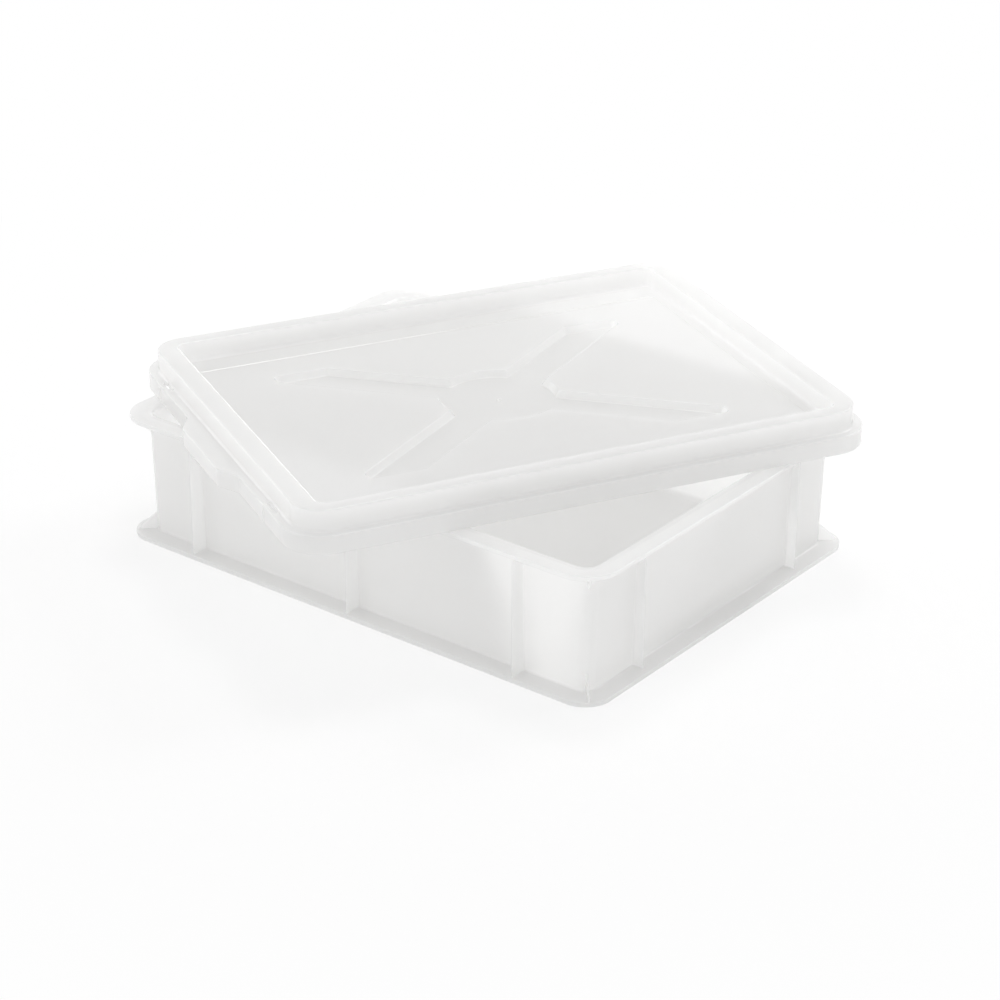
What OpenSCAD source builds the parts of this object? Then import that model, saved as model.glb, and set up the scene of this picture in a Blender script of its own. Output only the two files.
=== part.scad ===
// Stackable dough proofing container: a flanged, ribbed tub with its lid lying askew on the rim.
// Origin at the centre of the tub's underside, +X along its long side, +Z up, in millimetres.

/* [Tub] */
// Length of the tub over its rim
rim_l = 400; // [300:1:600]
// Width of the tub over its rim
rim_w = 300; // [220:1:400]
// Height of the tub
tub_h = 90; // [70:1:160]
// Thickness of the tub's wall
wall_t = 2.4; // [2:0.1:3]
// How far the wall leans outwards from foot to rim
wall_lean = 1.8; // [0.5:0.1:3]
// How far the rim stands out from the top of the wall
rim_reach = 13.2; // [12:0.1:15]
// Corner radius of the rim
rim_r = 24; // [23:0.5:28]
// Thickness of the rim
rim_t = 3; // [2.5:0.1:4]

/* [Tub base] */
// Length of the base flange
base_l = 396.5; // [296:0.5:598]
// Width of the base flange
base_w = 297.5; // [216:0.5:398]
// Corner radius of the base flange
base_r = 19.5; // [15:0.5:24]
// Thickness of the floor and the base flange
base_t = 3; // [2.5:0.1:4]
// Radius of the bend between wall and floor, inside
floor_bend = 4; // [2:0.5:5]
// Radius of the bend between wall and base flange, outside
foot_bend = 3; // [1:0.5:4]

/* [Tub ribs] */
// Thickness of a rib
rib_t = 1.3; // [1:0.1:2.5]
// Distance from the middle rib of a long side to the next one
rib_pitch_long = 135.5; // [100:0.5:140]
// Distance from the middle of a short side to each of its ribs
rib_offset_short = 87; // [60:1:95]
// How far the long sides' ribs stay inside the rim's edge
rib_inset_long = 3; // [2:0.1:8]
// How far the short sides' ribs stay inside the rim's edge
rib_inset_short = 7; // [2:0.1:8]
// Height of the gusset at the foot of each corner
foot_gusset_h = 12.5; // [6:0.5:16]
// Height of the gusset under the rim at each corner
rim_gusset_h = 12; // [5:0.5:14]

/* [Lid] */
// Clearance between the rim's edge and the inside of the lid's skirt, each side
lid_clearance = 0.8; // [0.5:0.1:1.5]
// Thickness of the lid
lid_t = 2.2; // [1.8:0.1:2.8]
// Height of the lid's ledge above the bottom of its skirt
ledge_h = 12.5; // [11:0.1:18]
// Height of the lid's raised border above the bottom of its skirt
border_h = 27; // [24:0.1:36]
// Width of the ledge around the border
ledge_w = 6.6; // [6:0.1:9]
// Width of the border along the long sides
border_side = 11; // [10:0.1:16]
// Width of the border along the short sides
border_end = 15; // [13:0.1:20]
// Depth of the panel below the border
panel_drop = 13.8; // [10:0.1:15]
// Corner radius of the opening inside the border
opening_r = 6; // [5:0.5:10]

/* [Lid recess] */
// Width of each arm of the crossed recess
arm_w = 31; // [20:0.1:40]
// Angle between an arm and the lid's long side
arm_angle = 37.3; // [30:0.1:42]
// Radius of the round middle of the recess
hub_r = 41.2; // [30:0.1:50]
// Length of the recess over its arms
cross_l = 258; // [200:1:270]
// Width of the recess over its arms
cross_w = 175; // [140:1:190]
// Depth of the recess
cross_depth = 4.7; // [3:0.1:5]
// How far the recess's walls lean outwards over that depth
cross_lean = 2.6; // [0:0.1:4]
// Depth of the low step down to the panel's flat middle
panel_step = 0.5; // [0.3:0.1:1]

/* [Lid grips and catches] */
// How far each grip stands out from the short side of the skirt
grip_reach = 9; // [6:0.5:12]
// Length of a grip's outer edge
grip_tip_l = 68; // [40:1:80]
// Length of a grip where it meets the skirt
grip_root_l = 98; // [90:1:110]
// Distance from the lid's middle to each catch, along the short side
catch_offset = 101; // [90:1:105]
// Length of a catch and of the slot above it
catch_l = 14.5; // [8:0.5:18]
// Width of the slot above a catch
slot_w = 3; // [2:0.1:3.5]

/* [Lid position] */
// Turn of the lid on the tub, from the tub's long side
lid_turn = 62.3; // [55:0.1:70]
// Shift of the lid's middle along the tub's width
lid_shift = 12.7; // [0:0.1:20]
// Gap between the rim and the skirt that lies on it
rest_gap = 0.2; // [0.1:0.05:0.5]

/* [Hidden] */
$fn = 96;
milky = [0.93, 0.93, 0.92];
arc_steps = 4;
// Depths to which shapes run into what they are joined to, and past what they cut
bury = 1.4;
overlap = 0.5;
past = 1;
// Places of the rim's corner centres, which the wall and the lid share
corner_x = rim_l / 2 - rim_r;
corner_y = rim_w / 2 - rim_r;
// Radii of the wall's outer face at its top and at its foot
wall_top_r = rim_r - rim_reach;
wall_foot_r = wall_top_r - wall_lean;
rim_bend = 2;
rim_edge_r = 1.5;
// The rim's top rises by this much up to this radius, and is flat from there on
crown_rise = 0.7;
crown_r = wall_top_r + 4.2;
// How far a corner's gussets stay inside the flange and the rim, and their height at that end
foot_gusset_in = 1;
rim_gusset_in = 2;
gusset_tip = 0.5;
// Lid sizes, as radii about the corner centres
skirt_r = rim_r + lid_clearance + lid_t;
border_r = skirt_r - ledge_w;
lid_half_l = corner_x + skirt_r;
lid_half_w = corner_y + skirt_r;
ledge_edge_r = 2.5;
ledge_bend = 1.5;
border_edge_r = 2;
shoulder_r = 3;
panel_bend = 2.5;
// Half sizes of the opening inside the border, and its corner centres
opening_x = lid_half_l - ledge_w - border_end;
opening_y = lid_half_w - ledge_w - border_side;
opening_cx = opening_x - opening_r;
opening_cy = opening_y - opening_r;
panel_z = border_h - panel_drop;
// Distances from the opening to the step in the panel, and the flat middle that it edges
step_in_x = 8.4;
step_in_y = 21.5;
middle_l = 2 * (opening_x - step_in_x);
middle_w = 2 * (opening_y - step_in_y);
middle_z = panel_z - panel_step;
// Thickness of the recess's leaning walls, measured level
cross_wall = lid_t * sqrt(1 + pow(cross_lean / cross_depth, 2));
gate_r = 1.8;
gate_h = 0.5;
// The catches, which pass under the rim with a little play
catch_reach = 1.3;
catch_play = 0.2;
catch_top = ledge_h - lid_t - rim_t - catch_play;
catch_h = 3;
catch_face_h = 0.8;
// Distance from the skirt's inner face to the slot above a catch
slot_in = 0.6;
pocket_depth = 0.6;
grip_round = 8;

// Points along an arc about c from angle a to angle b
function arc(c, r, a, b) =
    [for (i = [0:arc_steps]) let (t = a + (b - a) * i / arc_steps) c + r * [cos(t), sin(t)]];

// Outer radius of the tub's wall at height z
function wall_r(z) = wall_foot_r + wall_lean * z / tub_h;

// Filled rectangle with rounded corners, from its corner centres and radius
module plate(cx, cy, r) {
    square([2 * (cx + r), 2 * cy], center = true);
    square([2 * cx, 2 * (cy + r)], center = true);
    for (x = [-cx, cx], y = [-cy, cy]) translate([x, y]) circle(r);
}

// Sweeps a profile of radius and height round a rectangle of corner centres
module ring(cx, cy) {
    for (k = [0:3]) let (a = k % 2 == 0 ? cx : cy, b = k % 2 == 0 ? cy : cx)
        rotate(90 * k) translate([a, b, 0]) {
            rotate_extrude(angle = 90) children();
            rotate([90, 0, 0]) linear_extrude(2 * b) children();
        }
}

// Cross-section of the wall with its rim, floor bend and foot bend
module wall_section() {
    top_in = wall_top_r - wall_t;
    foot_in = wall_r(base_t) - wall_t;
    rim_low = tub_h - rim_t;
    polygon(concat(
        [[foot_in - floor_bend, base_t - bury]],
        arc([foot_in - floor_bend, base_t + floor_bend], floor_bend, -90, 0),
        arc([top_in + rim_bend, tub_h - crown_rise - rim_bend], rim_bend, 180, 90),
        [[crown_r, tub_h]],
        arc([rim_r - rim_edge_r, tub_h - rim_edge_r], rim_edge_r, 90, 0),
        [[rim_r, rim_low]],
        arc([wall_r(rim_low) + rim_bend, rim_low - rim_bend], rim_bend, 90, 180),
        arc([wall_r(base_t) + foot_bend, base_t + foot_bend], foot_bend, 180, 270),
        [[wall_r(base_t) + foot_bend, base_t - bury]]
    ));
}

// Upright plate between base flange and rim, with its outer edge at radius r
module rib(r) {
    low = base_t - bury;
    high = tub_h - rim_t + bury;
    rotate([90, 0, 0]) linear_extrude(rib_t, center = true)
        polygon([[wall_r(low) - wall_t / 2, low], [r, low], [r, high],
            [wall_r(high) - wall_t / 2, high]]);
}

// Pair of gussets that hold the base flange and the rim at a corner
module corner_gussets() {
    low = base_t - bury;
    high = tub_h - rim_t + bury;
    foot_top = base_t + foot_gusset_h;
    rim_low = tub_h - rim_t - rim_gusset_h;
    flange_shift = [base_l / 2 - base_r - corner_x, base_w / 2 - base_r - corner_y];
    foot_out = base_r + (flange_shift.x + flange_shift.y) * sin(45) - foot_gusset_in;
    rim_out = rim_r - rim_gusset_in;
    foot_in = wall_foot_r - wall_t / 2;
    rim_in = wall_top_r - wall_t / 2;
    rotate([90, 0, 0]) linear_extrude(rib_t, center = true) {
        polygon([[foot_in, low], [foot_out, low], [foot_out, base_t + gusset_tip],
            [wall_r(foot_top), foot_top], [foot_in, foot_top]]);
        polygon([[rim_in, high], [rim_out, high], [rim_out, tub_h - rim_t - gusset_tip],
            [wall_r(rim_low), rim_low], [rim_in, rim_low]]);
    }
}

module tub() {
    color(milky) union() {
        linear_extrude(base_t) plate(base_l / 2 - base_r, base_w / 2 - base_r, base_r);
        ring(corner_x, corner_y) wall_section();
        for (side = [0, 180]) rotate(side) {
            for (y = [-rib_offset_short, rib_offset_short])
                translate([corner_x, y, 0]) rib(rim_r - rib_inset_short);
            for (x = [-rib_pitch_long, 0, rib_pitch_long])
                translate([x, corner_y, 0]) rotate(90) rib(rim_r - rib_inset_long);
        }
        for (x = [-1, 1], y = [-1, 1])
            translate([x * corner_x, y * corner_y, 0]) rotate(atan2(y, x)) corner_gussets();
    }
}

// Cross-section of skirt, ledge and the border's outer wall, about the shared corner centres
module skirt_section() {
    polygon(concat(
        [[skirt_r, 0]],
        arc([skirt_r - ledge_edge_r, ledge_h - ledge_edge_r], ledge_edge_r, 0, 90),
        arc([border_r + ledge_bend, ledge_h + ledge_bend], ledge_bend, 270, 180),
        arc([border_r - border_edge_r, border_h - border_edge_r], border_edge_r, 0, 90),
        [[border_r - lid_t - bury, border_h], [border_r - lid_t - bury, border_h - lid_t],
            [border_r - lid_t, border_h - lid_t], [border_r - lid_t, ledge_h - lid_t],
            [skirt_r - lid_t, ledge_h - lid_t], [skirt_r - lid_t, 0]]
    ));
}

// Cross-section of the border's inner wall, about the opening's corner centres
module shoulder_section() {
    polygon(concat(
        [[opening_r + lid_t + bury, border_h]],
        arc([opening_r + shoulder_r, border_h - shoulder_r], shoulder_r, 90, 180),
        arc([opening_r - panel_bend, panel_z + panel_bend], panel_bend, 0, -90),
        [[opening_r - panel_bend, panel_z - lid_t], [opening_r + lid_t, panel_z - lid_t],
            [opening_r + lid_t, border_h - lid_t], [opening_r + lid_t + bury, border_h - lid_t]]
    ));
}

// How far the recess's outline has spread at height z, from what it is at the panel's middle
function spread(z) = (z - middle_z) * cross_lean / cross_depth;

// Bar along X, w wide at the height of the panel's middle, with sides that lean like the recess's walls
module leaning_bar(w, low, high) {
    half_low = w / 2 + spread(low);
    half_high = w / 2 + spread(high);
    rotate([90, 0, 90]) linear_extrude(2 * cross_l, center = true)
        polygon([[-half_low, low], [half_low, low], [half_high, high], [-half_high, high]]);
}

// Solid of the crossed recess between two heights, grown by g all round
module recess(g, low, high) {
    translate([0, 0, low])
        cylinder(r1 = hub_r + g + spread(low), r2 = hub_r + g + spread(high), h = high - low);
    for (a = [-arm_angle, arm_angle]) intersection() {
        rotate(a) leaning_bar(arm_w + 2 * g, low, high);
        leaning_bar(cross_w + 2 * g, low, high);
        rotate(90) leaning_bar(cross_l + 2 * g, low, high);
    }
}

// Outline of a grip, drawn in by g on its free sides
module grip_outline(g) {
    slope = (grip_root_l - grip_tip_l) / 2 / grip_reach;
    turn = atan(1 / slope);
    root_x = lid_half_l - lid_t - overlap;
    root_y = grip_root_l / 2 + slope * (lid_half_l - root_x) - g * sqrt(1 + slope * slope);
    bend = [lid_half_l + grip_reach - grip_round, grip_tip_l / 2 - grip_round * tan(turn / 2)];
    polygon(concat(
        [[root_x, -root_y]],
        arc([bend.x, -bend.y], grip_round - g, -turn, 0),
        arc(bend, grip_round - g, 0, turn),
        [[root_x, root_y]]
    ));
}

// Border, skirt and panel without the openings cut through them
module lid_shell() {
    ring(corner_x, corner_y) skirt_section();
    ring(opening_cx, opening_cy) shoulder_section();
    translate([0, 0, border_h - lid_t]) linear_extrude(lid_t) difference() {
        plate(corner_x, corner_y, border_r - lid_t);
        plate(opening_cx, opening_cy, opening_r + lid_t);
    }
    translate([0, 0, panel_z - lid_t]) linear_extrude(lid_t)
        plate(opening_cx, opening_cy, opening_r - panel_bend / 2);
    translate([0, 0, middle_z - lid_t]) linear_extrude(lid_t)
        square([middle_l + 2 * lid_t, middle_w + 2 * lid_t], center = true);
    recess(cross_wall, middle_z - cross_depth - lid_t, middle_z - lid_t / 2);
    for (side = [0, 180]) rotate(side) {
        linear_extrude(ledge_h) grip_outline(0);
        for (y = [-catch_offset, catch_offset]) translate([lid_half_l - lid_t, y, 0]) catch_hook();
    }
}

// Wedge inside the skirt that snaps under the tub's rim
module catch_hook() {
    rotate([90, 0, 0]) linear_extrude(catch_l, center = true)
        polygon([[overlap, catch_top - catch_h], [0, catch_top - catch_h],
            [-catch_reach, catch_top - catch_face_h], [-catch_reach, catch_top], [overlap, catch_top]]);
}

module lid() {
    color(milky) translate([0, lid_shift, tub_h + rest_gap]) rotate(lid_turn) difference() {
        lid_shell();
        translate([0, 0, middle_z]) linear_extrude(past)
            square([middle_l, middle_w], center = true);
        difference() {
            recess(0, middle_z - cross_depth, middle_z + past);
            cylinder(r = gate_r, h = middle_z - cross_depth + gate_h);
        }
        for (side = [0, 180]) rotate(side) {
            translate([0, 0, -past]) linear_extrude(ledge_h - lid_t + past) grip_outline(lid_t);
            for (y = [-catch_offset, catch_offset]) {
                translate([lid_half_l - lid_t - slot_in - slot_w / 2, y, ledge_h - lid_t / 2])
                    cube([slot_w, catch_l, 2 * lid_t], center = true);
                translate([lid_half_l, y, 0])
                    cube([2 * pocket_depth, catch_l, 2 * (ledge_h - lid_t)], center = true);
            }
        }
    }
}

tub();
lid();
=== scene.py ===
"""Dough proofing container: a ribbed plastic tub with its lid lying askew on the rim.

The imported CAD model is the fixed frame. Both mouldings are modelled again here at its sizes, with
the fillets, lips and moulded detail that the real plastic has. The classes hold their sizes in
millimetres, and a finished piece is turned into metres.
"""

from __future__ import annotations

import logging
import math
from abc import ABC, abstractmethod
from collections import defaultdict
from collections.abc import Iterable, Sequence
from dataclasses import dataclass
from enum import Enum

import bmesh
import bpy
from mathutils import Matrix, Vector

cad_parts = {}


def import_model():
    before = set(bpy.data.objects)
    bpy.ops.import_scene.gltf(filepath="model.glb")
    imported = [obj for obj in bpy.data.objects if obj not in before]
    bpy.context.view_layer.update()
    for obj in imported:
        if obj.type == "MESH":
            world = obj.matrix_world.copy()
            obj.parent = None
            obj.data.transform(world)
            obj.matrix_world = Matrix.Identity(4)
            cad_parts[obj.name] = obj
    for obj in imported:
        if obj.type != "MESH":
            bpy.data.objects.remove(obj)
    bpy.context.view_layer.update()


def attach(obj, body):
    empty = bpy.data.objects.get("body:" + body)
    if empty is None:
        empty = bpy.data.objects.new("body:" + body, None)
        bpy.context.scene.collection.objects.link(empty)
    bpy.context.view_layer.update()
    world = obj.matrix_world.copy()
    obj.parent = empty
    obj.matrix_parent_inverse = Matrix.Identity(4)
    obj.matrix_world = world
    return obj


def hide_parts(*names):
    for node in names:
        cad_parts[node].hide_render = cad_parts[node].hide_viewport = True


LOG = logging.getLogger("container")
MM = 0.001
CORNER_STEPS = 14
QUADRANTS = ((1, 1), (-1, 1), (-1, -1), (1, -1))
WELD_MM = 0.001
SHARP_ANGLE = math.radians(38)
SHADING_WEIGHT = 60
WHITE = (1.0, 1.0, 1.0, 1.0)

Point = tuple[float, float]
Point3 = tuple[float, float, float]
Colour = tuple[float, float, float]
Edges = list[bmesh.types.BMEdge]


class Join(Enum):
    """How a second solid changes the first."""

    ADD = "UNION"
    CUT = "DIFFERENCE"


def arc(centre: Point, radius: float, start: float, end: float, steps: int = 5) -> list[Point]:
    """Points along an arc in a cross-section.

    Args:
        centre: Centre of the arc.
        radius: Its radius.
        start: Angle of its first point, in degrees.
        end: Angle of its last point, in degrees.
        steps: Number of steps between the two.

    Returns:
        The points, with both ends.
    """
    turns = (math.radians(start + (end - start) * i / steps) for i in range(steps + 1))
    return [(centre[0] + radius * math.cos(t), centre[1] + radius * math.sin(t)) for t in turns]


@dataclass(frozen=True)
class Corner:
    """One corner of an outline seen from above, with its rounding."""

    x: float
    y: float
    radius: float = 0.0
    steps: int = CORNER_STEPS


class Outline(ABC):
    """A closed outline seen from above, which a piece's walls follow."""

    @abstractmethod
    def corners(self) -> list[Corner]:
        """The outline's corners, in order round it."""

    def draw(self, bm: bmesh.types.BMesh, z: float) -> Edges:
        """Draws the outline with its corners rounded.

        Args:
            bm: The mesh that it is drawn in.
            z: The height that it is drawn at.

        Returns:
            The edges of the closed loop.
        """
        corners = self.corners()
        verts = [bm.verts.new((corner.x, corner.y, z)) for corner in corners]
        plate = bm.faces.new(verts)
        rounds: dict[tuple[float, int], list[bmesh.types.BMVert]] = defaultdict(list)
        for i, corner in enumerate(corners):
            if corner.radius > 0:
                before = (verts[i].co - verts[i - 1].co).xy
                after = (verts[(i + 1) % len(verts)].co - verts[i].co).xy
                reach = corner.radius * math.tan(abs(before.angle_signed(after)) / 2)
                rounds[round(reach, 5), corner.steps].append(verts[i])
        for (reach, steps), picked in rounds.items():
            made = bmesh.ops.bevel(
                bm,
                geom=picked,
                offset=reach,
                offset_type="OFFSET",
                segments=steps,
                profile=0.5,
                affect="VERTICES",
                material=-1,
                clamp_overlap=False,
            )
            plate = made["verts"][0].link_faces[0]
        edges = list(plate.edges)
        bmesh.ops.delete(bm, geom=[plate], context="FACES_ONLY")
        return edges


@dataclass(frozen=True)
class RoundedRectangle(Outline):
    """A rectangle given by its corner centres and the radius about them."""

    centre_x: float
    centre_y: float
    radius: float

    def corners(self) -> list[Corner]:
        """The outline's corners, in order round it."""
        x, y = self.centre_x + self.radius, self.centre_y + self.radius
        return [Corner(i * x, j * y, self.radius) for i, j in QUADRANTS]


@dataclass(frozen=True)
class Disc(Outline):
    """A circle about the middle."""

    radius: float
    steps: int = 24

    def corners(self) -> list[Corner]:
        """The circle has no corners."""
        return []

    def draw(self, bm: bmesh.types.BMesh, z: float) -> Edges:
        """Draws the circle.

        Args:
            bm: The mesh that it is drawn in.
            z: The height that it is drawn at.

        Returns:
            The edges of the circle.
        """
        place = Matrix.Translation((0.0, 0.0, z))
        made = bmesh.ops.create_circle(bm, segments=self.steps, radius=self.radius, matrix=place)
        return list({edge for vert in made["verts"] for edge in vert.link_edges})


@dataclass(frozen=True)
class Loop(Outline):
    """An outline given by its corners."""

    points: tuple[Corner, ...]

    def corners(self) -> list[Corner]:
        """The outline's corners, in order round it."""
        return list(self.points)


def loft(bm: bmesh.types.BMesh, levels: Iterable[tuple[Outline, float]]) -> tuple[Edges, Edges]:
    """Draws outlines at their heights and joins each to the next.

    The loops are joined while they lie one above the other, and go to their heights after that.

    Args:
        bm: The mesh that they are drawn in.
        levels: The outlines with their heights, in order.

    Returns:
        The edges of the first and of the last loop.
    """
    loops, heights = [], []
    for outline, z in levels:
        loops.append(outline.draw(bm, float(len(loops))))
        heights.append(z)
    rings = [{vert for edge in loop for vert in edge.verts} for loop in loops]
    for first, second in zip(loops, loops[1:]):
        bmesh.ops.bridge_loops(bm, edges=first + second)
    for ring, z in zip(rings, heights):
        for vert in ring:
            vert.co.z = z
    return loops[0], loops[-1]


def close(bm: bmesh.types.BMesh, loop: Edges) -> None:
    """Closes a flat loop with one face."""
    bmesh.ops.contextual_create(bm, geom=loop)


def span(bm: bmesh.types.BMesh, outer: Edges, inner: Edges) -> None:
    """Fills the flat area between a loop and the loops inside it."""
    bmesh.ops.triangle_fill(bm, use_beauty=True, use_dissolve=False, edges=outer + inner)


def extrude_plate(
    bm: bmesh.types.BMesh, outline: Sequence[Point], thickness: float, edge: float
) -> None:
    """Makes an upright plate from its outline, centred on the plane where Y is 0.

    Args:
        bm: The mesh that it is made in.
        outline: Points of the outline as distance along X and height.
        thickness: Thickness along Y.
        edge: Size of the rounding along its edges.
    """
    verts = [bm.verts.new((x, -thickness / 2, z)) for x, z in outline]
    side = bm.faces.new(verts)
    grown = bmesh.ops.extrude_face_region(bm, geom=[side])["geom"]
    moved = [item for item in grown if isinstance(item, bmesh.types.BMVert)]
    bmesh.ops.translate(bm, verts=moved, vec=(0, thickness, 0))
    bmesh.ops.recalc_face_normals(bm, faces=bm.faces[:])
    if edge > 0:
        bmesh.ops.bevel(
            bm,
            geom=bm.edges[:],
            offset=edge,
            offset_type="OFFSET",
            segments=2,
            profile=0.5,
            affect="EDGES",
            material=-1,
        )


def upright_box(low: Point3, high: Point3, edge: float) -> bmesh.types.BMesh:
    """Makes a box with its upright edges rounded.

    Args:
        low: Its lowest corner.
        high: The corner across from that one.
        edge: Rounding of its upright edges.

    Returns:
        A mesh with the box.
    """
    bm = bmesh.new()
    bmesh.ops.create_cube(bm, size=1.0)
    size = Vector(high) - Vector(low)
    place = Matrix.Translation((Vector(low) + Vector(high)) / 2) @ Matrix.Diagonal((*size, 1.0))
    bmesh.ops.transform(bm, matrix=place, verts=bm.verts[:])
    upright = [e for e in bm.edges if abs((e.verts[0].co - e.verts[1].co).z) > 0.5 * size.z]
    bmesh.ops.bevel(
        bm,
        geom=upright,
        offset=edge,
        segments=4,
        profile=0.5,
        affect="EDGES",
        material=-1,
    )
    return bm


def copies(source: bmesh.types.BMesh, places: Iterable[Matrix]) -> bmesh.types.BMesh:
    """Puts a copy of a mesh at each place.

    Args:
        source: The mesh that is copied, which is freed.
        places: Where each copy goes.

    Returns:
        A mesh with all the copies.
    """
    pattern = bpy.data.meshes.new("pattern")
    source.to_mesh(pattern)
    source.free()
    result = bmesh.new()
    for place in places:
        start = len(result.verts)
        result.from_mesh(pattern)
        result.verts.ensure_lookup_table()
        bmesh.ops.transform(result, matrix=place, verts=result.verts[start:])
    bpy.data.meshes.remove(pattern)
    return result


def solid(name: str, bm: bmesh.types.BMesh) -> bpy.types.Object:
    """Turns a closed mesh into an object of the scene, in millimetres.

    Args:
        name: Name of the object.
        bm: The mesh, which is freed.

    Returns:
        The object.
    """
    bmesh.ops.remove_doubles(bm, verts=bm.verts[:], dist=WELD_MM)
    bmesh.ops.recalc_face_normals(bm, faces=bm.faces[:])
    mesh = bpy.data.meshes.new(name)
    bm.to_mesh(mesh)
    bm.free()
    piece = bpy.data.objects.new(name, mesh)
    bpy.context.scene.collection.objects.link(piece)
    return piece


def join(body: bpy.types.Object, tool: bpy.types.Object, how: Join) -> None:
    """Adds a second solid to a first, or cuts it out, and removes the second.

    Args:
        body: The solid that is changed.
        tool: The solid that is added or cut out.
        how: Which of the two.
    """
    modifier = body.modifiers.new("join", "BOOLEAN")
    modifier.operation = how.value
    modifier.solver = "EXACT"
    modifier.object = tool
    bpy.context.view_layer.update()
    made = bpy.data.meshes.new_from_object(body.evaluated_get(bpy.context.evaluated_depsgraph_get()))
    body.modifiers.clear()
    old, body.data = body.data, made
    bpy.data.meshes.remove(old)
    bpy.data.objects.remove(tool)


def finish_piece(piece: bpy.types.Object, place: Matrix, material: bpy.types.Material) -> None:
    """Puts a moulding in its place in metres, sets its smooth and sharp edges, and gives it its plastic.

    Args:
        piece: The moulding, in millimetres about its own middle.
        place: Where it goes, in millimetres.
        material: Its plastic.
    """
    bm = bmesh.new()
    bm.from_mesh(piece.data)
    bmesh.ops.remove_doubles(bm, verts=bm.verts[:], dist=WELD_MM)
    bmesh.ops.dissolve_degenerate(bm, edges=bm.edges[:], dist=WELD_MM)
    bmesh.ops.transform(bm, matrix=Matrix.Scale(MM, 4) @ place, verts=bm.verts[:])
    open_edges = sum(1 for edge in bm.edges if not edge.is_manifold)
    for face in bm.faces:
        face.smooth = True
        face.material_index = 0
    for edge in bm.edges:
        edge.smooth = edge.is_manifold and edge.calc_face_angle(0.0) < SHARP_ANGLE
    LOG.info("%s: %d faces, %d edges not closed", piece.name, len(bm.faces), open_edges)
    bm.to_mesh(piece.data)
    bm.free()
    piece.data.materials.clear()
    piece.data.materials.append(material)
    weights = piece.modifiers.new("even shading", "WEIGHTED_NORMAL")
    weights.keep_sharp = True
    weights.weight = SHADING_WEIGHT


@dataclass(frozen=True)
class Relief:
    """Low bumps in a moulded surface: how many a metre, how finely broken, how strong and how high."""

    scale: float
    detail: float
    strength: float
    height_mm: float


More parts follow.
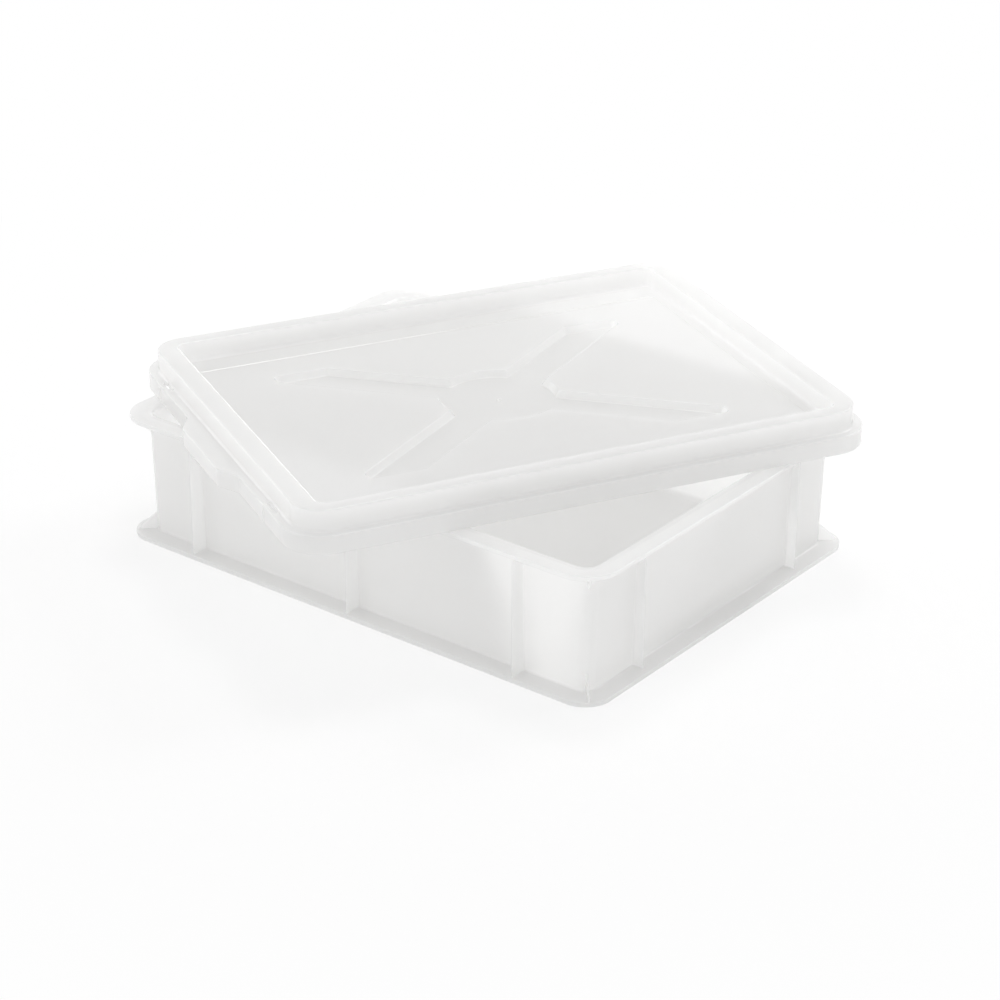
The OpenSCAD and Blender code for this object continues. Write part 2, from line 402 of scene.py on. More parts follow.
@dataclass(frozen=True)
class MilkyPlastic:
    """Natural polyethylene as moulded: milky, lets light through, and satin."""

    name: str
    turn: float = 0.0
    colour: Colour = (0.955, 0.954, 0.951)
    through_colour: Colour = (0.985, 0.9843, 0.982)
    see_through: float = 0.84
    refraction: float = 1.5
    grain: Relief = Relief(scale=420.0, detail=2.0, strength=0.12, height_mm=0.06)
    waves: Relief = Relief(scale=14.0, detail=2.0, strength=0.15, height_mm=0.4)
    cloud_scale: float = 38.0
    cloud_detail: float = 4.0
    cloud_low: float = 0.3
    cloud_high: float = 0.7
    roughness_low: float = 0.1
    roughness_high: float = 0.2

    def noise(self, tree: bpy.types.NodeTree, scale: float, detail: float) -> bpy.types.NodeSocket:
        """Adds a noise pattern that is turned with the piece.

        Args:
            tree: The material's nodes.
            scale: How many bumps it has a metre.
            detail: How finely it is broken up.

        Returns:
            The socket that gives the pattern.
        """
        place = tree.nodes.new("ShaderNodeTexCoord")
        turned = tree.nodes.new("ShaderNodeMapping")
        turned.inputs["Rotation"].default_value = (0.0, 0.0, -self.turn)
        pattern = tree.nodes.new("ShaderNodeTexNoise")
        pattern.inputs["Scale"].default_value = scale
        pattern.inputs["Detail"].default_value = detail
        tree.links.new(place.outputs["Object"], turned.inputs["Vector"])
        tree.links.new(turned.outputs["Vector"], pattern.inputs["Vector"])
        return pattern.outputs["Fac"]

    def relief(self, tree: bpy.types.NodeTree, kind: Relief) -> bpy.types.Node:
        """Adds bumps of one kind.

        Args:
            tree: The material's nodes.
            kind: The bumps.

        Returns:
            The bump node.
        """
        bump = tree.nodes.new("ShaderNodeBump")
        bump.inputs["Strength"].default_value = kind.strength
        bump.inputs["Distance"].default_value = kind.height_mm * MM
        tree.links.new(self.noise(tree, kind.scale, kind.detail), bump.inputs["Height"])
        return bump

    def roughness(self, tree: bpy.types.NodeTree) -> bpy.types.NodeSocket:
        """Adds the uneven gloss.

        Args:
            tree: The material's nodes.

        Returns:
            The socket that gives the roughness.
        """
        cloud = tree.nodes.new("ShaderNodeMapRange")
        cloud.inputs["From Min"].default_value = self.cloud_low
        cloud.inputs["From Max"].default_value = self.cloud_high
        cloud.inputs["To Min"].default_value = self.roughness_low
        cloud.inputs["To Max"].default_value = self.roughness_high
        tree.links.new(self.noise(tree, self.cloud_scale, self.cloud_detail), cloud.inputs["Value"])
        return cloud.outputs["Result"]

    def outer_gloss(self, tree: bpy.types.NodeTree, normal: bpy.types.NodeSocket) -> bpy.types.NodeSocket:
        """Adds the share of light that the plastic mirrors, which is nothing from inside its wall.

        Args:
            tree: The material's nodes.
            normal: The socket that gives the surface's direction with its bumps.

        Returns:
            The socket that gives the share.
        """
        edge_on = tree.nodes.new("ShaderNodeFresnel")
        edge_on.inputs["IOR"].default_value = self.refraction
        side = tree.nodes.new("ShaderNodeNewGeometry")
        outside = tree.nodes.new("ShaderNodeMapRange")
        outside.inputs["To Max"].default_value = 0.0
        tree.links.new(normal, edge_on.inputs["Normal"])
        tree.links.new(side.outputs["Backfacing"], outside.inputs["Value"])
        tree.links.new(edge_on.outputs[0], outside.inputs["To Min"])
        return outside.outputs["Result"]

    def build(self) -> bpy.types.Material:
        """Makes the material with its grain, slow waves and uneven gloss.

        Returns:
            The material.
        """
        material = bpy.data.materials.new(self.name)
        material.use_nodes = True
        tree = material.node_tree
        nodes, links = tree.nodes, tree.links
        roughness = self.roughness(tree)
        grain, waves = self.relief(tree, self.grain), self.relief(tree, self.waves)
        links.new(grain.outputs["Normal"], waves.inputs["Normal"])
        normal = waves.outputs["Normal"]

        body = nodes["Principled BSDF"]
        body.inputs["IOR"].default_value = self.refraction
        body.inputs["Base Color"].default_value = (*self.colour, 1.0)
        glow = nodes.new("ShaderNodeBsdfTranslucent")
        glow.inputs["Color"].default_value = (*self.through_colour, 1.0)
        sheen = nodes.new("ShaderNodeBsdfAnisotropic")
        sheen.inputs["Color"].default_value = WHITE
        for shader in (body, sheen):
            links.new(roughness, shader.inputs["Roughness"])
            links.new(normal, shader.inputs["Normal"])

        milky = nodes.new("ShaderNodeMixShader")
        milky.inputs[0].default_value = self.see_through
        links.new(body.outputs[0], milky.inputs[1])
        links.new(glow.outputs[0], milky.inputs[2])
        glossy = nodes.new("ShaderNodeMixShader")
        links.new(self.outer_gloss(tree, normal), glossy.inputs[0])
        links.new(milky.outputs[0], glossy.inputs[1])
        links.new(sheen.outputs[0], glossy.inputs[2])
        links.new(glossy.outputs[0], nodes["Material Output"].inputs["Surface"])
        return material


@dataclass
class Tub:
    """The tub: floor, base flange, wall, rim, ribs and corner gussets, moulded in one."""

    centre_x: float = 176.0
    centre_y: float = 126.0
    height: float = 90.0
    wall: float = 2.4
    wall_foot: float = 9.0
    wall_top: float = 10.8
    rim_out: float = 24.0
    rim_thick: float = 3.0
    rim_bend: float = 2.0
    rim_edge: float = 0.6
    lower_edge: float = 0.3
    crown_rise: float = 0.7
    crown_out: float = 15.0
    crown_lead: float = 1.4
    crown_drop: float = 0.12
    crown_start: float = 98.0
    flange_centre_x: float = 178.75
    flange_centre_y: float = 129.25
    flange_out: float = 19.5
    flange_edge: float = 0.4
    base: float = 3.0
    floor_bend: float = 4.0
    foot_bend: float = 1.4
    rib: float = 1.3
    rib_root: float = 1.6
    rib_edge: float = 0.4
    rib_spare: float = 0.4
    rib_sunk: float = 0.03
    rib_depth: float = 1.2
    rib_out_long: float = 21.0
    rib_out_short: float = 17.0
    rib_places_long: tuple[float, ...] = (-135.5, 0.0, 135.5)
    rib_places_short: tuple[float, ...] = (-87.0, 87.0)
    foot_gusset: float = 12.5
    rim_gusset: float = 12.0
    foot_gusset_in: float = 1.0
    rim_gusset_in: float = 2.0
    gusset_nose: float = 0.5
    gusset_edge: float = 0.3
    bury: float = 1.4

    def wall_at(self, z: float) -> float:
        """Radius of the wall's outer face at a height."""
        return self.wall_foot + (self.wall_top - self.wall_foot) * z / self.height

    def section(self) -> list[Point]:
        """Cross-section from the floor's bend over the rim to the foot.

        Returns:
            The points as radius and height.
        """
        top_in, foot_in = self.wall_top - self.wall, self.wall_at(self.base) - self.wall
        under = self.height - self.rim_thick
        bend, edge, low = self.rim_bend, self.rim_edge, self.lower_edge
        inner, foot = self.floor_bend, self.foot_bend
        crown_foot = self.height - self.crown_rise - bend
        return [
            *arc((foot_in - inner, self.base + inner), inner, -90, 0, steps=7),
            *arc((top_in + bend, crown_foot), bend, 180, self.crown_start, steps=6),
            (self.crown_out - self.crown_lead, self.height - self.crown_drop),
            (self.crown_out, self.height),
            *arc((self.rim_out - edge, self.height - edge), edge, 90, 0),
            *arc((self.rim_out - low, under + low), low, 0, -90, steps=3),
            *arc((self.wall_at(under) + bend, under - bend), bend, 90, 180),
            *arc((self.wall_at(self.base) + foot, self.base + foot), foot, 180, 270),
        ]

    def shell(self) -> bpy.types.Object:
        """Makes floor, wall, rim and base flange as one closed solid.

        Returns:
            The solid.
        """
        bm = bmesh.new()
        levels = [(RoundedRectangle(self.centre_x, self.centre_y, r), z) for r, z in self.section()]
        out, edge, low = self.flange_out, self.flange_edge, self.lower_edge
        flange = [
            *arc((out - edge, self.base - edge), edge, 90, 0, steps=4),
            *arc((out - low, low), low, 0, -90, steps=3),
        ]
        x, y = self.flange_centre_x, self.flange_centre_y
        levels += [(RoundedRectangle(x, y, r), z) for r, z in flange]
        floor, underside = loft(bm, levels)
        close(bm, floor)
        close(bm, underside)
        return solid("tub_moulding", bm)

    def rib_section(self, wall: float, out: float) -> Loop:
        """Plan of a rib with flared roots, standing out along Y from the wall's face.

        Args:
            wall: Where the wall's face is.
            out: Where the rib ends.

        Returns:
            The rib's outline.
        """
        half, root = self.rib / 2, self.rib_root
        wide, sunk = half + root + self.rib_spare, wall - self.rib_sunk
        right = (
            Corner(wide, wall - self.rib_depth),
            Corner(wide, sunk),
            Corner(half, sunk, root, steps=6),
            Corner(half, out, self.rib_edge, steps=3),
        )
        return Loop(right + tuple(Corner(-c.x, c.y, c.radius, c.steps) for c in reversed(right)))

    def ribs(self, out: float, places: list[Matrix]) -> bmesh.types.BMesh:
        """Makes ribs that reach out alike.

        Args:
            out: How far they reach out.
            places: Where they stand.

        Returns:
            A mesh with all of them.
        """
        bm = bmesh.new()
        low, high = self.base - self.bury, self.height - self.rim_thick + self.bury
        ends = loft(bm, [(self.rib_section(self.wall_at(z), out), z) for z in (low, high)])
        for end in ends:
            close(bm, end)
        return copies(bm, places)

    def gussets(self) -> bmesh.types.BMesh:
        """Makes the triangular plates at each corner, under the rim and at the foot.

        Returns:
            A mesh with all of them.
        """
        bm = bmesh.new()
        foot_top = self.base + self.foot_gusset
        rim_low = self.height - self.rim_thick - self.rim_gusset
        shift = self.flange_centre_x - self.centre_x + self.flange_centre_y - self.centre_y
        foot_out = self.flange_out + shift * math.sin(math.radians(45)) - self.foot_gusset_in
        rim_out, inner = self.rim_out - self.rim_gusset_in, self.wall / 2
        low, high = self.base - self.bury, self.height - self.rim_thick + self.bury
        under = self.height - self.rim_thick
        lower = [
            (self.wall_foot - inner, low),
            (foot_out, low),
            (foot_out, self.base + self.gusset_nose),
            (self.wall_at(foot_top), foot_top),
            (self.wall_foot - inner, foot_top),
        ]
        upper = [
            (self.wall_top - inner, high),
            (rim_out, high),
            (rim_out, under - self.gusset_nose),
            (self.wall_at(rim_low), rim_low),
            (self.wall_top - inner, rim_low),
        ]
        for outline in (lower, upper):
            plate = bmesh.new()
            extrude_plate(plate, outline, self.rib, self.gusset_edge)
            part = bpy.data.meshes.new("gusset")
            plate.to_mesh(part)
            plate.free()
            bm.from_mesh(part)
            bpy.data.meshes.remove(part)
        places = [
            Matrix.Translation((i * self.centre_x, j * self.centre_y, 0))
            @ Matrix.Rotation(math.atan2(j, i), 4, "Z")
            for i, j in QUADRANTS
        ]
        return copies(bm, places)

    def build(self, plastic: MilkyPlastic) -> bpy.types.Object:
        """Makes the tub and puts it on its body.

        Args:
            plastic: What it is made of.

        Returns:
            The finished piece.
        """
        tub = self.shell()
        long_sides = [
            Matrix.Rotation(turn, 4, "Z") @ Matrix.Translation((x, self.centre_y, 0))
            for turn in (0, math.pi)
            for x in self.rib_places_long
        ]
        short_sides = [
            Matrix.Rotation(turn, 4, "Z") @ Matrix.Translation((y, self.centre_x, 0))
            for turn in (math.pi / 2, -math.pi / 2)
            for y in self.rib_places_short
        ]
        for part in (
            self.ribs(self.rib_out_long, long_sides),
            self.ribs(self.rib_out_short, short_sides),
            self.gussets(),
        ):
            join(tub, solid("added", part), Join.ADD)
        finish_piece(tub, Matrix.Identity(4), plastic.build())
        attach(tub, "tub")
        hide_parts("tub")
        return tub


@dataclass(frozen=True)
class SkirtOutline(Outline):
    """The lid's outer outline with its two finger grips, grown or drawn in."""

    half_l: float
    half_w: float
    radius: float
    grip_reach: float
    grip_tip: float
    grip_root: float
    tip_round: float
    root_round: float
    grow: float
    least_round: float = 0.5
    bend_steps: int = 6

    def corners(self) -> list[Corner]:
        """Works out the outline's corners.

        Returns:
            The corners, in order round it.
        """
        g, steps = self.grow, self.bend_steps
        slope = (self.grip_root - self.grip_tip) / 2 / self.grip_reach
        shift = g * (math.sqrt(1 + slope * slope) - slope)
        x, y = self.half_l + g, self.half_w + g
        tip_y, root_y = self.grip_tip / 2 + shift, self.grip_root / 2 + shift
        root, tip = max(self.root_round - g, self.least_round), max(self.tip_round + g, self.least_round)
        half = [
            Corner(x, -root_y, root, steps),
            Corner(x + self.grip_reach, -tip_y, tip, steps),
            Corner(x + self.grip_reach, tip_y, tip, steps),
            Corner(x, root_y, root, steps),
            Corner(x, y, self.radius + g),
            Corner(-x, y, self.radius + g),
        ]
        return half + [Corner(-c.x, -c.y, c.radius, c.steps) for c in half]


@dataclass(frozen=True)
class CrossOutline(Outline):
    """The crossed recess: four arms out of a round middle, grown or drawn in."""

    arm: float
    angle: float
    hub: float
    length: float
    width: float
    grow: float
    tip_round: float
    root_round: float
    tip_grow: float = 0.6
    root_grow: float = 0.3
    round_steps: int = 4
    side_steps: int = 3
    front_steps: int = 4

    def corners(self) -> list[Corner]:
        """Works out the outline's corners, from those of one quarter.

        Returns:
            The corners, in order round it.
        """
        half, hub = self.arm / 2 + self.grow, self.hub + self.grow
        x, y = self.length / 2 + self.grow, self.width / 2 + self.grow
        a = math.radians(self.angle)
        meet = math.asin(half / hub)
        tip = self.tip_round + self.tip_grow * self.grow
        root = self.root_round - self.root_grow * self.grow
        steps, sides, fronts = self.round_steps, self.side_steps, self.front_steps
        start, rest = a - meet, math.pi / 2 - a - meet
        side = [(start * k / sides, 0.0) for k in range(sides)] + [(start, root)]
        front = [(a + meet, root)]
        front += [(a + meet + rest * k / fronts, 0.0) for k in range(1, fronts + 1)]
        quarter = [Corner(hub * math.cos(t), hub * math.sin(t), r, steps) for t, r in side]
        quarter += [
            Corner(x, (x * math.sin(a) - half) / math.cos(a), tip, steps),
            Corner(x, y, tip, steps),
            Corner((y * math.cos(a) - half) / math.sin(a), y, tip, steps),
        ]
        quarter += [Corner(hub * math.cos(t), hub * math.sin(t), r, steps) for t, r in front]
        upper = quarter + [Corner(-c.x, c.y, c.radius, c.steps) for c in reversed(quarter[:-1])]
        lower = [Corner(-c.x, -c.y, c.radius, c.steps) for c in upper]
        return upper + lower[1:-1]


@dataclass
class Lid:
    """The lid: skirt, ledge, raised border, sunken panel, grips and catches, moulded in one."""

    half_l: float = 203.0
    half_w: float = 153.0
    skirt_r: float = 27.0
    thick: float = 2.2
    ledge_h: float = 12.5
    ledge_edge: float = 0.8
    ledge_bend: float = 2.0
    under_edge: float = 1.0
    under_ledge_bend: float = 0.8
    under_border_edge: float = 1.0
    under_shoulder: float = 1.5
    under_panel_bend: float = 3.5
    border_r: float = 20.4
    border_h: float = 27.0
    border_edge: float = 1.0
    opening_x: float = 181.4
    opening_y: float = 135.4
    opening_r: float = 6.0
    shoulder: float = 1.0
    panel_bend: float = 3.2
    panel_z: float = 13.2
    middle_x: float = 173.0
    middle_y: float = 113.9
    middle_round: float = 2.5
    step: float = 0.4
    step_run: float = 1.2
    step_curve: tuple[Point, ...] = ((1.0, 0.0), (0.7, 0.12), (0.5, 0.5), (0.3, 0.88), (0.0, 1.0))
    arm: float = 31.0
    arm_angle: float = 37.3
    hub: float = 41.2
    cross_l: float = 258.0
    cross_w: float = 175.2
    cross_depth: float = 4.7
    cross_lean: float = 2.6
    cross_tip: float = 3.4
    cross_root: float = 2.2
    cross_edge: float = 0.7
    cross_foot: float = 1.0
    under_cross_edge: float = 1.0
    under_cross_foot: float = 1.2
    gate_r: float = 1.8
    gate_curve: tuple[Point, ...] = ((0.5, 0.0), (0.0, 0.15), (-0.15, 0.5), (-0.6, 0.5), (-0.9, 0.1))
    grip_reach: float = 9.0
    grip_tip: float = 68.0
    grip_root: float = 98.0
    tip_round: float = 8.0
    root_round: float = 10.0
    catch_at: float = 101.0
    catch_l: float = 14.5
    catch_reach: float = 1.3
    catch_top: float = 7.1
    catch_h: float = 3.0
    catch_face: float = 0.8
    catch_foot: float = 0.4
    catch_bury: float = 0.8
    catch_edge: float = 0.15
    slot_w: float = 3.0
    slot_in: float = 0.6
    slot_round: float = 0.5
    pocket: float = 0.6
    pocket_round: float = 0.3
    pocket_spare: float = 1.0
    turn: float = 62.3
    shift: float = 12.7
    rest_z: float = 90.2
    lip: float = 0.5

    def skirt(self, grow: float) -> SkirtOutline:
        """The skirt's outline with its grips.

        Args:
            grow: How much it is grown, or drawn in where that is below 0.

        Returns:
            The outline.
        """
        return SkirtOutline(
            self.half_l,
            self.half_w,
            self.skirt_r,
            self.grip_reach,
            self.grip_tip,
            self.grip_root,
            self.tip_round,
            self.root_round,
            grow,
        )

    def border(self, radius: float) -> RoundedRectangle:
        """A rectangle about the border's corner centres."""
        return RoundedRectangle(self.half_l - self.skirt_r, self.half_w - self.skirt_r, radius)

    def opening(self, radius: float) -> RoundedRectangle:
        """A rectangle about the corner centres of the opening inside the border."""
        return RoundedRectangle(self.opening_x - self.opening_r, self.opening_y - self.opening_r, radius)

    def middle(self, grow: float) -> RoundedRectangle:
        """The edge of the panel's flat middle, grown or drawn in."""
        r = self.middle_round
        return RoundedRectangle(self.middle_x - r, self.middle_y - r, r + grow)

    def cross(self, grow: float) -> CrossOutline:
        """The crossed recess's outline.

        Args:
            grow: How much it is grown, or drawn in where that is below 0.

        Returns:
            The outline.
        """
        return CrossOutline(
            self.arm,
            self.arm_angle,
            self.hub,
            self.cross_l,
            self.cross_w,
            grow,
            self.cross_tip,
            self.cross_root,
        )

    def recess(
        self, bm: bmesh.types.BMesh, top: float, grow: float, edge: float, foot: float
    ) -> tuple[Edges, Edges]:
        """Makes the recess's leaning wall, rounded at its top and its foot.

        Args:
            bm: The mesh that it is made in.
            top: Height of its top.
            grow: How much its top is grown.
            edge: Rounding at the top.
            foot: Rounding at the foot.

        Returns:
            The loops at its top and at its foot.
        """
        lean = math.degrees(math.atan2(self.cross_lean, self.cross_depth))
        low = top - self.cross_depth
        half = math.radians(90 - lean) / 2
        edge_run, foot_run = edge * math.tan(half), foot * math.tan(half)
        upper = arc((grow + edge_run, top - edge), edge, 90, 180 - lean, steps=4)
        lower = arc((grow - self.cross_lean - foot_run, low + foot), foot, -lean, -90, steps=4)
        return loft(bm, [(self.cross(g), z) for g, z in upper + lower])

    def upper_side(self, bm: bmesh.types.BMesh) -> Edges:
        """Makes border, panel and recess as seen from above, from the ledge inwards.

        Args:
            bm: The mesh that they are made in.

        Returns:
            The loop where they meet the ledge.
        """
        edge, bend, shoulder, low = self.border_edge, self.ledge_bend, self.shoulder, self.panel_bend
        outer = [
            *arc((self.border_r + bend, self.ledge_h + bend), bend, 270, 180, steps=4),
            *arc((self.border_r - edge, self.border_h - edge), edge, 0, 90, steps=6),
        ]
        inner = [
            *arc((self.opening_r + shoulder, self.border_h - shoulder), shoulder, 90, 180, steps=8),
            *arc((self.opening_r - low, self.panel_z + low), low, 0, -90, steps=6),
        ]
        levels = [(self.border(r), z) for r, z in outer] + [(self.opening(r), z) for r, z in inner]
        levels += [
            (self.middle(share * self.step_run), self.panel_z - fall * self.step)
            for share, fall in self.step_curve
        ]
        ledge, middle = loft(bm, levels)
        middle_z = self.panel_z - self.step
        top, foot = self.recess(bm, middle_z, 0.0, self.cross_edge, self.cross_foot)
        span(bm, middle, top)
        floor_z = middle_z - self.cross_depth
        gate = [(Disc(self.gate_r + out), floor_z + up) for out, up in self.gate_curve]
        around, dimple = loft(bm, gate)
        span(bm, foot, around)
        close(bm, dimple)
        return ledge

    def lower_side(self, bm: bmesh.types.BMesh) -> Edges:
        """Makes the same surfaces from below, from the ledge's underside inwards.

        Args:
            bm: The mesh that they are made in.

        Returns:
            The loop where they meet the ledge's underside.
        """
        t = self.thick
        ceiling, roof, panel = self.ledge_h - t, self.border_h - t, self.panel_z - t
        bend, edge = self.under_ledge_bend, self.under_border_edge
        shoulder, low = self.under_shoulder, self.under_panel_bend
        outer = [
            *arc((self.border_r - t + bend, ceiling + bend), bend, 270, 180, steps=3),
            *arc((self.border_r - t - edge, roof - edge), edge, 0, 90, steps=3),
        ]
        inner = [
            *arc((self.opening_r + t + shoulder, roof - shoulder), shoulder, 90, 180, steps=4),
            *arc((self.opening_r + t - low, panel + low), low, 0, -90, steps=6),
        ]
        levels = [(self.border(r), z) for r, z in outer] + [(self.opening(r), z) for r, z in inner]
        levels += [(self.middle(t + self.step_run), panel), (self.middle(t), panel - self.step)]
        ledge, middle = loft(bm, levels)
        wall = t * math.hypot(1.0, self.cross_lean / self.cross_depth)
        grow = wall - t * self.cross_lean / self.cross_depth
        top, foot = self.recess(
            bm, panel - self.step, grow, self.under_cross_edge, self.under_cross_foot
        )
        span(bm, middle, top)
        close(bm, foot)
        return ledge

    def shell(self) -> bpy.types.Object:
        """Makes skirt, ledge, border and panel as one closed solid.

        Returns:
            The solid.
        """
        bm = bmesh.new()
        edge, under, t, lip = self.ledge_edge, self.under_edge, self.thick, self.lip
        ceiling = self.ledge_h - t
        outside = [
            *arc((-edge, self.ledge_h - edge), edge, 90, 0, steps=7),
            *arc((-lip, lip), lip, 0, -90, steps=3),
        ]
        inside = [
            *arc((lip - t, lip), lip, 270, 180, steps=3),
            *arc((-t - under, ceiling - under), under, 0, 90, steps=3),
        ]
        top, underside = loft(bm, [(self.skirt(g), z) for g, z in outside + inside])
        span(bm, top, self.upper_side(bm))
        span(bm, underside, self.lower_side(bm))
        return solid("lid_moulding", bm)

    def at_catches(self, bm: bmesh.types.BMesh) -> bmesh.types.BMesh:
        """Puts copies of a shape at the four catches, where X runs out through the skirt.

        Args:
            bm: The shape, which is freed.

        Returns:
            A mesh with the four copies.
        """
        places = [
            Matrix.Rotation(turn, 4, "Z") @ Matrix.Translation((self.half_l - self.thick, y, 0))
            for turn in (0, math.pi)
            for y in (-self.catch_at, self.catch_at)
        ]
        return copies(bm, places)

    def catches(self) -> bmesh.types.BMesh:
        """Makes the wedges inside the skirt that pass under the tub's rim.

        Returns:
            A mesh with the four of them.
        """
        bm = bmesh.new()
        top, bury = self.catch_top, self.catch_bury
        low = top - self.catch_h - self.catch_foot
        outline = [
            (bury, low),
            (0.0, low),
            (-self.catch_reach, top - self.catch_face),
            (-self.catch_reach, top),
            (bury, top),
        ]
        extrude_plate(bm, outline, self.catch_l, self.catch_edge)
        return self.at_catches(bm)

    def slots(self) -> bmesh.types.BMesh:
        """Makes the solids that are cut out of the ledge above the catches.

        Returns:
            A mesh with the four of them.
        """
        half = self.catch_l / 2
        low = (-self.slot_in - self.slot_w, -half, self.ledge_h - 2 * self.thick)
        high = (-self.slot_in, half, self.ledge_h + self.thick)
        return self.at_catches(upright_box(low, high, self.slot_round))

    def pockets(self) -> bmesh.types.BMesh:
        """Makes the solids that cut the shallow bands down the skirt's outer face.

        Returns:
            A mesh with the four of them.
        """
        half, spare = self.catch_l / 2, self.pocket_spare
        low = (self.thick - self.pocket, -half, -spare)
        high = (self.thick + spare, half, self.ledge_h - self.thick)
        return self.at_catches(upright_box(low, high, self.pocket_round))

    def build(self, plastic: MilkyPlastic) -> bpy.types.Object:
        """Makes the lid and puts it on its body.

        Args:
            plastic: What it is made of.

        Returns:
            The finished piece.
        """
        lid = self.shell()
        join(lid, solid("added", self.catches()), Join.ADD)
        join(lid, solid("cut", self.slots()), Join.CUT)
        join(lid, solid("cut", self.pockets()), Join.CUT)
        turned = Matrix.Rotation(math.radians(self.turn), 4, "Z")
        place = Matrix.Translation((0, self.shift, self.rest_z)) @ turned
        finish_piece(lid, place, plastic.build())
        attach(lid, "lid")
        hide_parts("lid")
        return lid


@dataclass(frozen=True)
class Lamp:
    """A square soft lamp that points at the container, in metres and watts."""

    name: str
    towards: Point3
    distance: float
    size: float
    power: float

    def hang(self) -> None:
        """Puts the lamp in the scene."""
        place = Vector(self.towards).normalized() * self.distance
        data = bpy.data.lights.new(self.name, "AREA")
        data.shape = "SQUARE"
        data.size = self.size
        data.energy = self.power
        lamp = bpy.data.objects.new(self.name, data)
        lamp.location = place
        lamp.rotation_euler = (-place).to_track_quat("-Z", "Y").to_euler()
        bpy.context.scene.collection.objects.link(lamp)


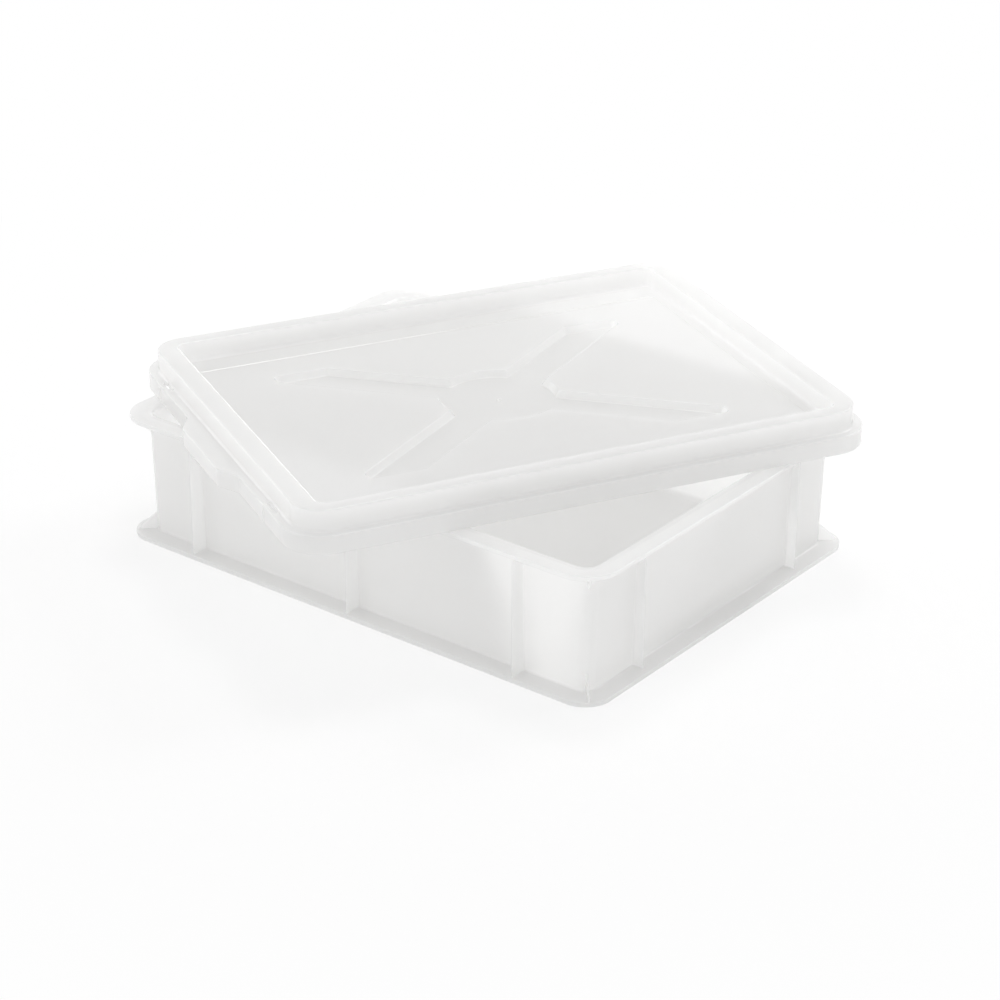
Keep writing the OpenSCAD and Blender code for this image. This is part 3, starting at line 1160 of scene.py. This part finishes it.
@dataclass
class Studio:
    """Floor, soft light and the camera at the photograph's angle.

    Lengths are in metres and angles in degrees. The lens and its sensor are in millimetres.
    """

    camera_at: Point3 = (1.1026, -1.4023, 0.8956)
    azimuth: float = 37.892
    elevation: float = 25.919
    roll: float = 0.251
    lens: float = 105.107
    sensor: float = 36.0
    sight: float = 50.0
    world: float = 0.68
    lamps: tuple[Lamp, ...] = (
        Lamp("high_back", (0.2, 0.7, 0.66), 1.7, 0.6, 6.5),
        Lamp("overhead", (-0.15, 0.3, 0.94), 1.7, 0.45, 5.5),
        Lamp("horizon", (-0.56, 0.82, 0.12), 2.4, 0.7, 5.0),
        Lamp("front_left", (-0.5, -0.8, 0.35), 2.4, 1.3, 7.5),
        Lamp("left", (-0.95, -0.05, 0.35), 1.9, 0.6, 1.8),
    )
    floor_colour: Colour = (0.94, 0.94, 0.94)
    floor_radius: float = 12.0
    floor_steps: int = 96
    floor_gap: float = 0.0001
    glow_near: float = 0.75
    near: float = 0.3
    far: float = 0.75
    bounces: int = 10

    def camera(self) -> None:
        """Puts the camera where the photograph was taken from."""
        a, e, r = (math.radians(v) for v in (self.azimuth, self.elevation, self.roll))
        back = Vector((math.sin(a) * math.cos(e), -math.cos(a) * math.cos(e), math.sin(e)))
        right = Vector((math.cos(a), math.sin(a), 0.0))
        up = back.cross(right)
        across = math.cos(r) * right + math.sin(r) * up
        upright = -math.sin(r) * right + math.cos(r) * up
        data = bpy.data.cameras.new("camera")
        data.lens = self.lens
        data.sensor_width = self.sensor
        data.sensor_fit = "HORIZONTAL"
        data.clip_end = self.sight
        camera = bpy.data.objects.new("camera", data)
        turned = Matrix((across, upright, back)).transposed().to_4x4()
        camera.matrix_world = Matrix.Translation(self.camera_at) @ turned
        bpy.context.scene.collection.objects.link(camera)
        bpy.context.scene.camera = camera

    def seen_ray(self, tree: bpy.types.NodeTree) -> bpy.types.NodeSocket:
        """Adds nodes that tell rays which show the background, seen or mirrored, from the others.

        Args:
            tree: The nodes of the world or of the floor.

        Returns:
            The socket that gives 1 for such a ray.
        """
        path = tree.nodes.new("ShaderNodeLightPath")
        either = tree.nodes.new("ShaderNodeMath")
        either.operation = "MAXIMUM"
        tree.links.new(path.outputs["Is Camera Ray"], either.inputs[0])
        tree.links.new(path.outputs["Is Glossy Ray"], either.inputs[1])
        return either.outputs[0]

    def whitened(self, tree: bpy.types.NodeTree) -> bpy.types.NodeSocket:
        """Adds the share of white that the floor shows, which grows away from the container.

        Args:
            tree: The floor's nodes.

        Returns:
            The socket that gives the share, which is 0 for rays that only light the scene.
        """
        place = tree.nodes.new("ShaderNodeTexCoord")
        away = tree.nodes.new("ShaderNodeVectorMath")
        away.operation = "LENGTH"
        fade = tree.nodes.new("ShaderNodeMapRange")
        fade.interpolation_type = "SMOOTHSTEP"
        fade.inputs["From Min"].default_value = self.near
        fade.inputs["From Max"].default_value = self.far
        fade.inputs["To Min"].default_value = self.glow_near
        fade.inputs["To Max"].default_value = 1.0
        share = tree.nodes.new("ShaderNodeMath")
        share.operation = "MULTIPLY"
        tree.links.new(place.outputs["Object"], away.inputs[0])
        tree.links.new(away.outputs["Value"], fade.inputs["Value"])
        tree.links.new(self.seen_ray(tree), share.inputs[0])
        tree.links.new(fade.outputs["Result"], share.inputs[1])
        return share.outputs[0]

    def surroundings(self) -> None:
        """Sets the even light around the container and a white background."""
        world = bpy.data.worlds.new("studio")
        world.use_nodes = True
        nodes, links = world.node_tree.nodes, world.node_tree.links
        light = nodes["Background"]
        light.inputs["Color"].default_value = WHITE
        light.inputs["Strength"].default_value = self.world
        seen = nodes.new("ShaderNodeBackground")
        seen.inputs["Color"].default_value = WHITE
        seen.inputs["Strength"].default_value = 1.0
        mix = nodes.new("ShaderNodeMixShader")
        links.new(self.seen_ray(world.node_tree), mix.inputs[0])
        links.new(light.outputs[0], mix.inputs[1])
        links.new(seen.outputs[0], mix.inputs[2])
        links.new(mix.outputs[0], nodes["World Output"].inputs["Surface"])
        bpy.context.scene.world = world

    def floor_material(self) -> bpy.types.Material:
        """Makes the floor's matt surface, which turns white away from the container.

        Returns:
            The material.
        """
        material = bpy.data.materials.new("floor")
        material.use_nodes = True
        nodes, links = material.node_tree.nodes, material.node_tree.links
        nodes.remove(nodes["Principled BSDF"])
        matt = nodes.new("ShaderNodeBsdfDiffuse")
        matt.inputs["Color"].default_value = (*self.floor_colour, 1.0)
        glow = nodes.new("ShaderNodeEmission")
        glow.inputs["Strength"].default_value = 1.0
        mix = nodes.new("ShaderNodeMixShader")
        links.new(self.whitened(material.node_tree), mix.inputs[0])
        links.new(matt.outputs[0], mix.inputs[1])
        links.new(glow.outputs[0], mix.inputs[2])
        links.new(mix.outputs[0], nodes["Material Output"].inputs["Surface"])
        return material

    def floor(self) -> None:
        """Lays the pale floor just under the container."""
        bm = bmesh.new()
        bmesh.ops.create_circle(bm, cap_ends=True, segments=self.floor_steps, radius=self.floor_radius)
        bmesh.ops.translate(bm, verts=bm.verts[:], vec=(0.0, 0.0, -self.floor_gap))
        mesh = bpy.data.meshes.new("floor")
        bm.to_mesh(mesh)
        bm.free()
        floor = bpy.data.objects.new("floor", mesh)
        bpy.context.scene.collection.objects.link(floor)
        mesh.materials.append(self.floor_material())

    def build(self) -> None:
        """Sets up the camera, the lamps and the floor."""
        self.camera()
        self.surroundings()
        self.floor()
        for lamp in self.lamps:
            lamp.hang()
        scene = bpy.context.scene
        scene.view_settings.view_transform = "Standard"
        scene.cycles.diffuse_bounces = self.bounces
        scene.cycles.transmission_bounces = self.bounces
        scene.cycles.max_bounces = 2 * self.bounces


def main() -> None:
    """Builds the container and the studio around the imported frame."""
    logging.basicConfig(level=logging.INFO, format="%(name)s: %(message)s")
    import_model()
    Studio().build()
    lid = Lid()
    tub_plastic = MilkyPlastic("tub_plastic")
    lid_plastic = MilkyPlastic("lid_plastic", turn=math.radians(lid.turn))
    for piece in (Tub().build(tub_plastic), lid.build(lid_plastic)):
        LOG.info("%s is in place", piece.name)


if __name__ == "__main__":
    main()
